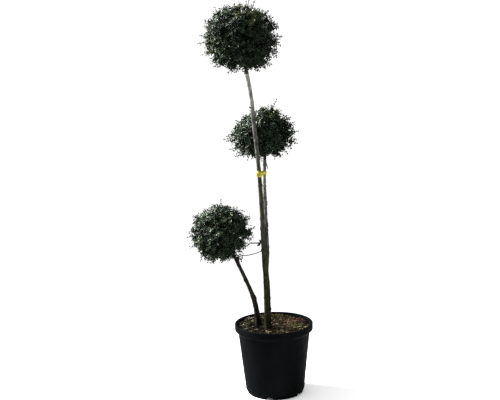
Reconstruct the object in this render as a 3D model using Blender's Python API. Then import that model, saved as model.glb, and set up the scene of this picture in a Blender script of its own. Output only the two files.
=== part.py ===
"""Potted privet: three clipped balls of small leaves on stems from one root, in a nursery pot.

Units are metres and +Z is up. The origin is the centre of the pot's flat underside, and -Y is
the front. The trunk runs up to the top ball. The middle stem forks from it, and the low stem
rises from the same root. Every stem starts at the soil or at the fork, and ends where it
enters its ball.
"""

from collections import namedtuple
from math import cos, exp, hypot, pi, radians, sin, tau

import bmesh
import bpy
import numpy as np
from mathutils import Vector, geometry, noise

# Driving dimensions
RIM_RADIUS = 0.140
POT_HEIGHT = 0.257
SOIL_LEVEL = 0.247
SEAM = 0.0003

# Pot
FOOT_RADIUS = 0.0985
FOOT_BEVEL = 0.0075
FOOT_BEVEL_HEIGHT = 0.016
BODY_TOP_RADIUS = 0.1285
RIM_BAND_LOW = 0.235
RIM_SLOPE_LOW = 0.225
RIM_THICKNESS = 0.008
RIM_ROUND = 0.003
WALL = 0.0025
FLOOR = 0.003
POT_SEGMENTS = 60
NOTCH_COUNT = 5
NOTCH_WIDTH = 0.027
NOTCH_HEIGHT = 0.011
NOTCH_DEPTH = 0.020
FIRST_NOTCH_ANGLE = radians(-104)

# Soil
SOIL_RINGS = 8
SOIL_SEGMENTS = 48
SOIL_RELIEF = 0.0035
SOIL_RELIEF_SIZE = 0.030
FLAT_ROUND_STEM = 0.045
FLAT_FADE = 0.030

# Stems
RING_SPACING = 0.022
BUMP_LENGTH = 0.060
FLARE_HEIGHT = 0.014
GROOVE_CLEARANCE = 0.004

# Tie and string
TIE_LEVEL = 0.808
TIE_HEIGHT = 0.022
TIE_WALL_TRUNK = 0.0037
TIE_WALL_STEM = 0.0022
STRING_RADIUS = 0.001

# Each stem has way points of its centre line, and a taper as pairs of height and radius.
# The flare is the share by which the foot is wider, and the lobes are its root ridges.
Stem = namedtuple("Stem", "way taper sides flare lobes flat_foot")

FOOT = SOIL_LEVEL + SEAM

TRUNK = Stem(
    way=((-0.0225, -0.030, FOOT), (-0.0225, -0.037, 0.400), (-0.0290, -0.040, 0.520),
         (-0.0335, -0.038, 0.669), (-0.0385, -0.037, 0.784), (-0.0460, -0.035, 0.891),
         (-0.0555, -0.033, 0.996), (-0.0610, -0.032, 1.070), (-0.0845, -0.030, 1.221)),
    taper=((FOOT, 0.0122), (0.400, 0.0113), (0.520, 0.0088), (0.741, 0.0076), (0.850, 0.0065),
           (1.221, 0.0055)),
    sides=14, flare=0.30, lobes=4, flat_foot=True)

MIDDLE_STEM = Stem(
    way=((-0.0205, -0.036, 0.430), (-0.0176, -0.031, 0.505), (-0.0195, -0.025, 0.612),
         (-0.0210, -0.018, 0.710), (-0.0222, -0.012, 0.785), (-0.0190, 0.002, 0.850),
         (-0.0200, 0.025, 0.910)),
    taper=((0.430, 0.0058), (0.505, 0.0070), (0.710, 0.0060), (0.850, 0.0050), (0.910, 0.0045)),
    sides=12, flare=0.0, lobes=0, flat_foot=False)

LOW_STEM = Stem(
    way=((-0.055, -0.012, FOOT), (-0.061, -0.012, 0.307), (-0.070, -0.011, 0.351),
         (-0.086, -0.010, 0.396), (-0.105, -0.008, 0.441), (-0.125, -0.006, 0.485),
         (-0.155, -0.006, 0.549)),
    taper=((FOOT, 0.0100), (0.336, 0.0092), (0.396, 0.0070), (0.485, 0.0061), (0.549, 0.0052)),
    sides=12, flare=0.35, lobes=3, flat_foot=True)

# Each ball is given by its outer box, how square its upper and lower halves are, how far each
# half leans to the right as it rises, and how uneven it is.
Ball = namedtuple("Ball", "low high upper lower lean_up lean_down bump seed")

TOP_BALL = Ball(low=(-0.2195, -0.155, 1.163), high=(0.0395, 0.095, 1.399), upper=2.2, lower=2.6,
                lean_up=0.0, lean_down=-0.05, bump=0.08, seed=(12.6, 3.9, 14.8))
MIDDLE_BALL = Ball(low=(-0.1415, -0.030, 0.844), high=(0.0945, 0.154, 1.036), upper=1.9, lower=2.2,
                   lean_up=0.10, lean_down=0.08, bump=0.14, seed=(7.4, 0.2, 17.3))
LOWER_BALL = Ball(low=(-0.289, -0.114, 0.490), high=(-0.071, 0.096, 0.700), upper=2.2, lower=2.2,
                  lean_up=-0.05, lean_down=0.14, bump=0.10, seed=(9.1, 19.9, 16.8))

BALL_SUBDIVISIONS = 4
BUMP_FREQUENCY = 2.1

# The string sags from the low stem to the trunk, with both ends inside a stem before the cut
STRING_WAY = ((-0.129, -0.008, 0.495), (-0.121, -0.015, 0.506), (-0.106, -0.022, 0.513),
              (-0.087, -0.028, 0.515), (-0.061, -0.036, 0.523), (-0.029, -0.041, 0.535))


def clear_scene():
    for obj in list(bpy.data.objects):
        bpy.data.objects.remove(obj, do_unlink=True)


def material(name, colour, roughness):
    mat = bpy.data.materials.new(name)
    mat.use_nodes = True
    shader = mat.node_tree.nodes["Principled BSDF"]
    shader.inputs["Base Color"].default_value = (*colour, 1.0)
    shader.inputs["Roughness"].default_value = roughness
    shader.inputs["Metallic"].default_value = 0.0
    return mat


def add_object(name, bm, mat=None, crease=radians(35)):
    """Turn a bmesh into an object of its own, with its faces outward and rounds smooth."""
    bmesh.ops.recalc_face_normals(bm, faces=bm.faces)
    mesh = bpy.data.meshes.new(name)
    bm.to_mesh(mesh)
    bm.free()
    mesh.shade_smooth()
    mesh.set_sharp_from_angle(angle=crease)
    if mat:
        mesh.materials.append(mat)
    obj = bpy.data.objects.new(name, mesh)
    bpy.context.collection.objects.link(obj)
    return obj


def add_cutter(name, bm):
    cutter = add_object(name, bm)
    cutter.hide_render = True
    cutter.display_type = "WIRE"
    return cutter


def cut(obj, cutter):
    modifier = obj.modifiers.new("cut " + cutter.name, "BOOLEAN")
    modifier.operation = "DIFFERENCE"
    modifier.solver = "EXACT"
    modifier.object = cutter


def smooth_path(way_points, spacing):
    """Return points about the given spacing apart on one smooth curve through the way points."""
    points = [Vector(p) for p in way_points]
    spans = [(b - a).length for a, b in zip(points, points[1:])]
    slopes = []
    for i in range(len(points)):
        before = max(i - 1, 0)
        after = min(i + 1, len(points) - 1)
        slopes.append((points[after] - points[before]) / sum(spans[before:after]))
    path = []
    for i, span in enumerate(spans):
        handle_a = points[i] + slopes[i] * span / 3
        handle_b = points[i + 1] - slopes[i + 1] * span / 3
        steps = max(2, round(span / spacing))
        curve = geometry.interpolate_bezier(points[i], handle_a, handle_b, points[i + 1], steps + 1)
        path.extend(curve[:-1])
    path.append(points[-1])
    return path


def ring_axes(path, i, level):
    """Return two directions across the path at a point. A level ring is a flat cut."""
    if level:
        return Vector((1, 0, 0)), Vector((0, 1, 0))
    along = (path[min(i + 1, len(path) - 1)] - path[max(i - 1, 0)]).normalized()
    across = Vector((0, 1, 0)).cross(along).normalized()
    return across, along.cross(across)


def bridge_rings(bm, rings):
    """Join closed rings of vertices into a tube, and cap its two ends."""
    for lower, upper in zip(rings, rings[1:]):
        count = len(lower)
        for k in range(count):
            n = (k + 1) % count
            bm.faces.new((lower[k], lower[n], upper[n], upper[k]))
    bm.faces.new(reversed(rings[0]))
    bm.faces.new(rings[-1])


def stem_radius(stem, point, angle, grow):
    """Taper, slow swellings, and the ridged flare at the foot."""
    heights = [pair[0] for pair in stem.taper]
    radii = [pair[1] for pair in stem.taper]
    radius = float(np.interp(point.z, heights, radii))
    radius *= 1 + 0.05 * noise.noise(point / BUMP_LENGTH)
    flare = stem.flare * exp(-(point.z - heights[0]) / FLARE_HEIGHT)
    ridge = 1 + 0.5 * cos(stem.lobes * angle + 0.6)
    return radius * (1 + flare * ridge) + grow


def stem_mesh(stem, grow=0.0):
    """A limb swept along its centre line. grow fattens it, for cutting its neighbours."""
    bm = bmesh.new()
    path = smooth_path(stem.way, RING_SPACING)
    rings = []
    for i, point in enumerate(path):
        level = stem.flat_foot and i == 0
        across, over = ring_axes(path, i, level)
        ring = []
        for k in range(stem.sides):
            angle = tau * k / stem.sides
            radius = stem_radius(stem, point, angle, grow)
            ring.append(bm.verts.new(point + radius * (cos(angle) * across + sin(angle) * over)))
        rings.append(ring)
    bridge_rings(bm, rings)
    return bm


def ball_direction_to_point(ball, direction):
    """One point of a ball of unit size: a squared round, with bumps, before it is sized."""
    square = ball.upper if direction.z > 0 else ball.lower
    level = hypot(direction.x, direction.y)
    reach = (level ** square + abs(direction.z) ** square) ** (-1 / square)
    where = direction * BUMP_FREQUENCY + Vector(ball.seed)
    bump = noise.noise(where) + 0.45 * noise.noise(where * 2.3)
    point = direction * reach * (1 + ball.bump * bump)
    point.x += point.z * (ball.lean_up if point.z > 0 else ball.lean_down)
    return point


def ball_mesh(ball, grow=0.0):
    """A mass of foliage that fills its box exactly. grow fattens it, for cutting a stem."""
    bm = bmesh.new()
    bmesh.ops.create_icosphere(bm, subdivisions=BALL_SUBDIVISIONS, radius=1.0)
    for vert in bm.verts:
        vert.co = ball_direction_to_point(ball, vert.co.normalized())
    for axis in range(3):
        low = min(vert.co[axis] for vert in bm.verts)
        high = max(vert.co[axis] for vert in bm.verts)
        scale = (ball.high[axis] - ball.low[axis] + 2 * grow) / (high - low)
        for vert in bm.verts:
            vert.co[axis] = ball.low[axis] - grow + (vert.co[axis] - low) * scale
    return bm


def turned_mesh(profile, segments):
    """Turn a profile of (radius, height) round the Z axis. Its ends lie on the axis."""
    bm = bmesh.new()
    rings = []
    for radius, height in profile[1:-1]:
        ring = []
        for k in range(segments):
            angle = tau * k / segments
            ring.append(bm.verts.new((radius * cos(angle), radius * sin(angle), height)))
        rings.append(ring)
    first = bm.verts.new((0, 0, profile[0][1]))
    last = bm.verts.new((0, 0, profile[-1][1]))
    for k in range(segments):
        n = (k + 1) % segments
        bm.faces.new((first, rings[0][n], rings[0][k]))
        bm.faces.new((last, rings[-1][k], rings[-1][n]))
        for lower, upper in zip(rings, rings[1:]):
            bm.faces.new((lower[k], lower[n], upper[n], upper[k]))
    return bm


def inner_radius(height):
    """The pot's inside wall, which runs with the outside one."""
    outside = np.interp(height, (FOOT_BEVEL_HEIGHT, RIM_SLOPE_LOW, RIM_BAND_LOW),
                        (FOOT_RADIUS + FOOT_BEVEL, BODY_TOP_RADIUS, RIM_RADIUS - RIM_THICKNESS + WALL))
    return float(outside) - WALL


def build_pot():
    """A tapered tub with a deep rim band, a bevelled foot and notches at its drain holes."""
    top_inside = RIM_RADIUS - RIM_THICKNESS
    profile = [
        (0, 0),
        (FOOT_RADIUS, 0),
        (FOOT_RADIUS + FOOT_BEVEL, FOOT_BEVEL_HEIGHT),
        (BODY_TOP_RADIUS, RIM_SLOPE_LOW),
        (RIM_RADIUS, RIM_BAND_LOW),
        (RIM_RADIUS, POT_HEIGHT - RIM_ROUND),
        (RIM_RADIUS - RIM_ROUND, POT_HEIGHT),
        (top_inside + RIM_ROUND, POT_HEIGHT),
        (top_inside, POT_HEIGHT - RIM_ROUND),
        (inner_radius(RIM_BAND_LOW), RIM_BAND_LOW),
        (inner_radius(RIM_SLOPE_LOW), RIM_SLOPE_LOW),
        (inner_radius(FOOT_BEVEL_HEIGHT), FOOT_BEVEL_HEIGHT),
        (FOOT_RADIUS - WALL, FLOOR),
        (0, FLOOR),
    ]
    pot = add_object("pot", turned_mesh(profile, POT_SEGMENTS),
                     material("black pot plastic", (0.012, 0.013, 0.014), 0.55))
    cut_notches(pot, 0.0)


def cut_notches(obj, grow):
    """Cut the drain notches, which run in under the pot from the edge of its foot."""
    inner = FOOT_RADIUS - NOTCH_DEPTH - grow
    half_width = NOTCH_WIDTH / 2 + grow
    corners = ((inner, -half_width), (RIM_RADIUS, -half_width),
               (RIM_RADIUS, half_width), (inner, half_width))
    for number in range(NOTCH_COUNT):
        angle = FIRST_NOTCH_ANGLE + tau * number / NOTCH_COUNT
        bm = bmesh.new()
        rings = []
        for height in (-NOTCH_HEIGHT, NOTCH_HEIGHT + grow):
            ring = []
            for out, side in corners:
                x = out * cos(angle) - side * sin(angle)
                y = out * sin(angle) + side * cos(angle)
                ring.append(bm.verts.new((x, y, height)))
            rings.append(ring)
        bridge_rings(bm, rings)
        cut(obj, add_cutter("%s notch cutter %d" % (obj.name, number), bm))


def soil_height(x, y):
    """Rolling soil, level where a stem stands in it."""
    flatness = 1.0
    for stem in (TRUNK, LOW_STEM):
        distance = hypot(x - stem.way[0][0], y - stem.way[0][1])
        flatness = min(flatness, max(0.0, (distance - FLAT_ROUND_STEM) / FLAT_FADE))
    relief = noise.noise(Vector((x, y, 0)) / SOIL_RELIEF_SIZE) - 0.25
    return SOIL_LEVEL + SOIL_RELIEF * relief * flatness


def build_soil():
    """The root ball that fills the pot, a seam away from its wall and floor."""
    base = FLOOR + SEAM
    base_radius = FOOT_RADIUS - WALL - SEAM
    side_heights = (FOOT_BEVEL_HEIGHT, RIM_SLOPE_LOW, RIM_BAND_LOW, SOIL_LEVEL - SOIL_RELIEF)
    profile = [(0, base), (base_radius, base)]
    for height in side_heights:
        profile.append((inner_radius(height) - SEAM * 1.5, height))
    top_radius = profile[-1][0]
    for ring in range(SOIL_RINGS - 1, 0, -1):
        profile.append((top_radius * ring / SOIL_RINGS, SOIL_LEVEL))
    profile.append((0, SOIL_LEVEL))
    bm = turned_mesh(profile, SOIL_SEGMENTS)
    for vert in bm.verts:
        if vert.co.z > SOIL_LEVEL - SEAM:
            vert.co.z = soil_height(vert.co.x, vert.co.y)
    soil = add_object("soil", bm, material("potting soil", (0.055, 0.036, 0.020), 0.95))
    cut_notches(soil, SEAM)


def build_stems():
    """The trunk, the middle stem that forks from it and the low stem, each cut at its ball."""
    bark = material("bark", (0.10, 0.09, 0.065), 0.80)
    trunk = add_object("trunk", stem_mesh(TRUNK), bark)
    middle = add_object("middle_stem", stem_mesh(MIDDLE_STEM), bark.copy())
    low = add_object("low_stem", stem_mesh(LOW_STEM), bark.copy())
    cut(middle, add_cutter("trunk cutter", stem_mesh(TRUNK, SEAM)))
    for stem, ball, name in ((trunk, TOP_BALL, "top"), (middle, MIDDLE_BALL, "middle"),
                             (low, LOWER_BALL, "lower")):
        cut(stem, add_cutter(name + " ball cutter", ball_mesh(ball, SEAM)))


def build_balls():
    """The three clipped masses. The middle one is grooved where the trunk passes its front."""
    leaf = material("privet leaf", (0.020, 0.036, 0.014), 0.45)
    add_object("top_ball", ball_mesh(TOP_BALL), leaf, crease=pi)
    middle = add_object("middle_ball", ball_mesh(MIDDLE_BALL), leaf.copy(), crease=pi)
    add_object("lower_ball", ball_mesh(LOWER_BALL), leaf.copy(), crease=pi)
    cut(middle, add_cutter("trunk groove cutter", stem_mesh(TRUNK, GROOVE_CLEARANCE)))


def centre_at(stem, height):
    """Return the point of a stem's centre line at a height."""
    path = smooth_path(stem.way, RING_SPACING)
    heights = [point.z for point in path]
    return Vector([float(np.interp(height, heights, [p[axis] for p in path])) for axis in range(3)])


def build_tie():
    """A wrap of soft tape round the trunk and the middle stem."""
    trunk = centre_at(TRUNK, TIE_LEVEL)
    stem = centre_at(MIDDLE_STEM, TIE_LEVEL)
    trunk_radius = stem_radius(TRUNK, trunk, 0, TIE_WALL_TRUNK)
    small_radius = stem_radius(MIDDLE_STEM, stem, 0, TIE_WALL_STEM)
    between = stem - trunk
    heading = np.arctan2(between.y, between.x)
    arc_steps = 9
    rings = []
    bm = bmesh.new()
    for side in (-1, 1):
        ring = []
        height = TIE_LEVEL + side * TIE_HEIGHT / 2
        for centre, radius, start in ((trunk, trunk_radius, pi / 2), (stem, small_radius, -pi / 2)):
            for k in range(arc_steps + 1):
                angle = heading + start + pi * k / arc_steps
                x = centre.x + radius * cos(angle)
                y = centre.y + radius * sin(angle)
                ring.append(bm.verts.new((x, y, height)))
        rings.append(ring)
    bridge_rings(bm, rings)
    tie = add_object("tie", bm, material("yellow tie", (0.55, 0.44, 0.06), 0.50))
    cut(tie, add_cutter("tie trunk cutter", stem_mesh(TRUNK, SEAM)))
    cut(tie, add_cutter("tie stem cutter", stem_mesh(MIDDLE_STEM, SEAM)))


def build_string():
    """A thin string that holds the low stem to the trunk."""
    string = Stem(way=STRING_WAY, taper=((0.0, STRING_RADIUS), (1.0, STRING_RADIUS)),
                  sides=8, flare=0.0, lobes=0, flat_foot=False)
    obj = add_object("string", stem_mesh(string), material("grey string", (0.20, 0.20, 0.19), 0.80))
    cut(obj, add_cutter("string trunk cutter", stem_mesh(TRUNK, SEAM)))
    cut(obj, add_cutter("string stem cutter", stem_mesh(LOW_STEM, SEAM)))


def main():
    clear_scene()
    build_pot()
    build_soil()
    build_stems()
    build_balls()
    build_tie()
    build_string()


main()
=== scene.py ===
"""Looks of a potted privet: bark, leaves, pot, soil, tie and string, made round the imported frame.

Units are metres and +Z is up. -Y is the front. Each ball of foliage grows on from the head of
its stem: boughs fork from the limb, twigs from the boughs and sprays from the twigs, and each
spray carries its leaves in opposite pairs. The colour of a spray is dealt out spray by spray.
"""

from collections import namedtuple
from math import cos, exp, hypot, pi, radians, sin, sqrt, tau
from random import Random

import bmesh
import bpy
import numpy as np
from mathutils import Matrix, Vector, noise
from mathutils.bvhtree import BVHTree


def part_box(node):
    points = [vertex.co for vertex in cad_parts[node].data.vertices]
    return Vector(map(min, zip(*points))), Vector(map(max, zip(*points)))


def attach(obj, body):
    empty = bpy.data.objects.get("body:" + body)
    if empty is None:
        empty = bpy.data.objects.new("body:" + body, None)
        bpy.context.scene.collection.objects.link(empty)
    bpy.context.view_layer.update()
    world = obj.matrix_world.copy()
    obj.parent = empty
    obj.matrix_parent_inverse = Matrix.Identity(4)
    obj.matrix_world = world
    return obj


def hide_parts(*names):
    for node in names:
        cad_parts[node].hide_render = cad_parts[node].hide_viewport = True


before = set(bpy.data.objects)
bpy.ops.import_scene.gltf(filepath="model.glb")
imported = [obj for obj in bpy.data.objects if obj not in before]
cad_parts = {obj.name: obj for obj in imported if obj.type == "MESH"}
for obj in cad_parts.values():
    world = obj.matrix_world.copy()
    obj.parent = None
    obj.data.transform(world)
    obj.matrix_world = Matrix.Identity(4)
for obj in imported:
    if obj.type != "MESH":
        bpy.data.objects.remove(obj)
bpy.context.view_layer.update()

BODY = "root"
UP = Vector((0, 0, 1))

# Camera
CAMERA_PLACE = Vector((-0.0743, -4.5, 1.6202))
CAMERA_PITCH = radians(11.457)
CAMERA_ROLL = radians(-1.460)
CAMERA_LENS = 93.87
SENSOR_WIDTH = 36.0

# Studio
FLOOR_SIZE = 60.0
FLOOR_DROP = 0.0002
FLOOR_COLOUR = (0.97, 0.97, 0.97)
SKY_STRENGTH = 1.16
KEY_PLACE = Vector((-3.7, 1.2, 3.1))
KEY_TARGET = Vector((-0.07, 0.0, 0.85))
KEY_SIZE = 1.2
KEY_SPREAD = radians(24)
KEY_POWER = 78.0

# Pot, which repeats the frame's sizes with rounded edges
RIM_RADIUS = 0.140
POT_HEIGHT = 0.257
FOOT_RADIUS = 0.0985
FOOT_BEVEL = 0.0075
FOOT_BEVEL_HEIGHT = 0.016
BODY_TOP_RADIUS = 0.1285
RIM_BAND_LOW = 0.235
RIM_SLOPE_LOW = 0.225
RIM_THICKNESS = 0.008
RIM_ROUND = 0.003
WALL = 0.0025
FLOOR_THICKNESS = 0.003
EDGE_ROUND = 0.0016
POT_SEGMENTS = 192
NOTCH_COUNT = 5
NOTCH_WIDTH = 0.027
NOTCH_HEIGHT = 0.011
NOTCH_DEPTH = 0.020
FIRST_NOTCH_ANGLE = radians(-104)

# Soil
SOIL_LEVEL = 0.247
SOIL_RELIEF = 0.0035
SOIL_RELIEF_SIZE = 0.030
SOIL_RADIUS = 0.1314
SOIL_RINGS = 64
SOIL_SEGMENTS = 200
SOIL_SEAM = 0.0006
BACK_RISE = 0.0050
CRUMBS = 2600
CHIPS = 420
STRAWS = 300
MOSS_BLADES = 1100

# Bark
SLICE_STEP = 0.008
RING_STEP = 0.0018
BARK_SIDES = 44
RIDGE_DEPTH = 0.00042
GRAIN_DEPTH = 0.00018
RIDGE_SIZE = 0.0042
GRAIN_SIZE = 0.0012
RIDGE_STRETCH = 4.5
NODE_SPACING = 0.058
NODE_SWELL = 0.0006
FORK_HEIGHT = 0.428
FORK_CLEAR = 0.520
SOIL_SINK = 0.004
TRUNK_LEAST_RADIUS = 0.0067
MIDDLE_LEAST_RADIUS = 0.0057

# Tie and string
TIE_LEVEL = 0.808
TAPE_HALF_WIDTH = 0.0042
TAPE_HALF_THICKNESS = 0.00055
TAPE_STEPS = 72
RIBBON_SIDES = 10
STRING_RADIUS = 0.001
PLY_RADIUS = 0.00105
PLY_OFFSET = 0.00070
TWIST_PITCH = 0.0065
STRING_WAY = ((-0.129, -0.008, 0.495), (-0.121, -0.015, 0.506), (-0.106, -0.022, 0.513),
              (-0.087, -0.028, 0.515), (-0.061, -0.036, 0.523), (-0.029, -0.041, 0.535))

# Foliage
LEAF_LENGTH = 0.0110
LEAF_WIDTH_SHARE = 0.56
LEAF_STEP = 0.0060
LEAF_STATIONS = ((0.16, 0.24), (0.46, 0.50), (0.78, 0.33))
SPRAY_RINGS = 4
FURTHEST_SHARE = 1.10
INNER_SHARES = (0.50, 0.93)
OUTER_SHARES = (0.88, 1.09)
OUTER_PART = 0.46
OPEN_FROM = 0.82
OPEN_SPAN = 0.15
OPEN_PART = 0.56
OPEN_ABOVE = 0.34
TRUNK_CLEARANCE = 0.0045
STRAY_RADIUS = 0.0016
LOOP_PLACE = (-0.1150, -0.020, 0.5070)
LOOP_RADIUS = 0.0080
LOOP_LEAVES = 7
# deep is also painted shade inside the balls, grey is a painted highlight on their lit rims, and green leans to the
# lit side; young is the young leaves' own colour.
TINTS = ("deep", "green", "grey", "young")

# swells say which way in the picture a ball bulges: x, z, how widely and by what share
Ball = namedtuple("Ball", "node boughs twigs sprays swells gaps young strays seed")


def place(obj, slot, *nodes):
    """Let a finished piece ride on the plant's one body, and stand for its nodes."""
    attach(obj, BODY)
    if nodes:
        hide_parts(*nodes)
    return obj


class Heap:
    """Gathers the points and faces of many small shapes for one joined mesh."""

    def __init__(self):
        self.points = []
        self.corners = []
        self.sizes = []
        self.kinds = []
        self.count = 0

    def add(self, points, *face_sets, kind=0):
        for faces in face_sets:
            faces = np.asarray(faces)
            self.corners.append((faces + self.count).ravel())
            self.sizes.append(np.full(len(faces), faces.shape[1]))
            self.kinds.append(np.full(len(faces), kind))
        self.points.append(np.asarray(points, float).reshape(-1, 3))
        self.count += len(self.points[-1])

    def build(self, name, materials, smooth=True):
        corners = np.concatenate(self.corners)
        sizes = np.concatenate(self.sizes)
        mesh = bpy.data.meshes.new(name)
        mesh.vertices.add(self.count)
        mesh.vertices.foreach_set("co", np.concatenate(self.points).ravel())
        mesh.loops.add(len(corners))
        mesh.loops.foreach_set("vertex_index", corners)
        mesh.polygons.add(len(sizes))
        mesh.polygons.foreach_set("loop_start", np.concatenate(([0], np.cumsum(sizes)[:-1])))
        mesh.polygons.foreach_set("material_index", np.concatenate(self.kinds))
        mesh.update(calc_edges=True)
        mesh.validate()
        if smooth:
            mesh.shade_smooth()
        for mat in materials:
            mesh.materials.append(mat)
        obj = bpy.data.objects.new(name, mesh)
        bpy.context.scene.collection.objects.link(obj)
        return obj


def spline(rows, count):
    """A smooth curve through evenly numbered rows of values, resampled to count rows."""
    rows = np.asarray(rows, float)
    last = len(rows) - 1
    place_on = np.linspace(0, last, count)
    i = np.clip(place_on.astype(int), 0, last - 1)
    t = (place_on - i)[:, None]
    before, start = rows[np.maximum(i - 1, 0)], rows[i]
    end, after = rows[i + 1], rows[np.minimum(i + 2, last)]
    curve = 2 * start + (end - before) * t
    curve += (2 * before - 5 * start + 4 * end - after) * t ** 2
    curve += (3 * start - before - 3 * end + after) * t ** 3
    return curve / 2


def arc_rows(start, bend, end, radius_start, radius_end, count):
    """Rows of x, y, z and radius on one smooth arc that is pulled towards the bend point."""
    rows = []
    for k in range(count):
        t = k / (count - 1)
        point = start * (1 - t) ** 2 + bend * 2 * t * (1 - t) + end * t ** 2
        rows.append((*point, radius_start + (radius_end - radius_start) * t))
    return rows


def tube_axes(paths, reference=None):
    """Two directions across each row of several centre lines."""
    centres = paths[:, :, :3]
    along = np.gradient(centres, axis=1)
    along /= np.linalg.norm(along, axis=2, keepdims=True)
    if reference is None:
        span = centres[:, -1] - centres[:, 0]
        upright = np.abs(span[:, 2]) > 0.8 * np.linalg.norm(span, axis=1)
        reference = np.where(upright[:, None], (0.0, 1.0, 0.0), (0.0, 0.0, 1.0))[:, None, :]
    side = np.cross(reference, along)
    side /= np.linalg.norm(side, axis=2, keepdims=True)
    return side, np.cross(along, side)


def tube_faces(count, rings, sides):
    """The faces of several closed tubes with the same number of rings and sides."""
    here = np.arange(sides)
    beside = (here + 1) % sides
    row = np.arange(rings - 1)[:, None] * sides
    quads = np.stack((row + here, row + beside, row + beside + sides, row + here + sides), axis=-1)
    caps = np.stack((here[::-1], (rings - 1) * sides + here))
    offset = (np.arange(count) * rings * sides)[:, None, None]
    return (quads.reshape(-1, 4) + offset).reshape(-1, 4), (caps + offset).reshape(-1, sides)


def add_tubes(heap, paths, sides, kind=0, reference=None):
    """Add one closed tube for each path. All paths have the same number of rows."""
    if not len(paths):
        return
    paths = np.asarray(paths, float)
    side, over = tube_axes(paths, reference)
    angles = np.arange(sides) * tau / sides
    around = (np.cos(angles)[:, None] * side[:, :, None, :]
              + np.sin(angles)[:, None] * over[:, :, None, :])
    points = paths[:, :, None, :3] + paths[:, :, None, 3:] * around
    heap.add(points, *tube_faces(len(paths), paths.shape[1], sides), kind=kind)


def add_ribbon(heap, centres, outs, ups, half_width, half_thickness, closed=False, kind=0):
    """A flat band with round edges along its centre line. outs is the way its flat side faces."""
    angles = np.arange(RIBBON_SIDES) * tau / RIBBON_SIDES
    over = np.cos(angles)[None, :, None] * ups[:, None] * half_width
    past = np.sin(angles)[None, :, None] * outs[:, None] * half_thickness
    points = centres[:, None] + over + past
    rings = len(centres)
    if not closed:
        heap.add(points, *tube_faces(1, rings, RIBBON_SIDES), kind=kind)
        return
    here = np.arange(RIBBON_SIDES)
    beside = (here + 1) % RIBBON_SIDES
    row = np.arange(rings)[:, None] * RIBBON_SIDES
    after = np.roll(row, -1, axis=0)
    quads = np.stack((row + here, row + beside, after + beside, after + here), axis=-1)
    heap.add(points, quads.reshape(-1, 4), kind=kind)


# Materials

def new_material(name, roughness, specular=0.5, colour=(0.5, 0.5, 0.5)):
    mat = bpy.data.materials.new(name)
    mat.use_nodes = True
    shader = mat.node_tree.nodes["Principled BSDF"]
    shader.inputs["Base Color"].default_value = (*colour, 1.0)
    shader.inputs["Roughness"].default_value = roughness
    shader.inputs["Specular IOR Level"].default_value = specular
    return mat, mat.node_tree, shader


def where(tree, stretch=(1, 1, 1)):
    """The place on the object, stretched along its axes."""
    place_node = tree.nodes.new("ShaderNodeTexCoord")
    mapping = tree.nodes.new("ShaderNodeMapping")
    mapping.inputs["Scale"].default_value = stretch
    tree.links.new(place_node.outputs["Object"], mapping.inputs["Vector"])
    return mapping.outputs["Vector"]


def noise_value(tree, place_socket, scale, detail=4.0, rough=0.55):
    texture = tree.nodes.new("ShaderNodeTexNoise")
    texture.inputs["Scale"].default_value = scale
    texture.inputs["Detail"].default_value = detail
    texture.inputs["Roughness"].default_value = rough
    tree.links.new(place_socket, texture.inputs["Vector"])
    return texture.outputs["Fac"]


def cell_value(tree, place_socket, scale):
    texture = tree.nodes.new("ShaderNodeTexVoronoi")
    texture.inputs["Scale"].default_value = scale
    tree.links.new(place_socket, texture.inputs["Vector"])
    return texture.outputs["Distance"]


def ramp(tree, value, stops):
    """Colours by value. stops holds pairs of a value and a colour."""
    node = tree.nodes.new("ShaderNodeValToRGB")
    elements = node.color_ramp.elements
    while len(elements) < len(stops):
        elements.new(0.5)
    for element, (at, colour) in zip(elements, stops):
        element.position = at
        element.color = (*colour, 1.0)
    tree.links.new(value, node.inputs["Fac"])
    return node.outputs["Color"]


def grey_ramp(tree, value, *stops):
    """Like ramp, for plain amounts."""
    return ramp(tree, value, [(at, (amount,) * 3) for at, amount in stops])


def blend(tree, amount, first, second, how="MIX"):
    node = tree.nodes.new("ShaderNodeMix")
    node.data_type = "RGBA"
    node.blend_type = how
    for name, value in (("Factor", amount), ("A", first), ("B", second)):
        kind = "VALUE" if name == "Factor" else "RGBA"
        socket = next(s for s in node.inputs if s.name == name and s.type == kind)
        if isinstance(value, (int, float)):
            socket.default_value = value
        elif isinstance(value, tuple):
            socket.default_value = (*value, 1.0)
        else:
            tree.links.new(value, socket)
    return next(s for s in node.outputs if s.type == "RGBA")


def height_value(tree, low, high):
    """0 at the low height and 1 at the high one."""
    split = tree.nodes.new("ShaderNodeSeparateXYZ")
    tree.links.new(where(tree), split.inputs["Vector"])
    span = tree.nodes.new("ShaderNodeMapRange")
    span.inputs["From Min"].default_value = low
    span.inputs["From Max"].default_value = high
    tree.links.new(split.outputs["Z"], span.inputs["Value"])
    return span.outputs["Result"]


def bump(tree, shader, height, strength, distance):
    node = tree.nodes.new("ShaderNodeBump")
    node.inputs["Strength"].default_value = strength
    node.inputs["Distance"].default_value = distance
    tree.links.new(height, node.inputs["Height"])
    tree.links.new(node.outputs["Normal"], shader.inputs["Normal"])


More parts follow.
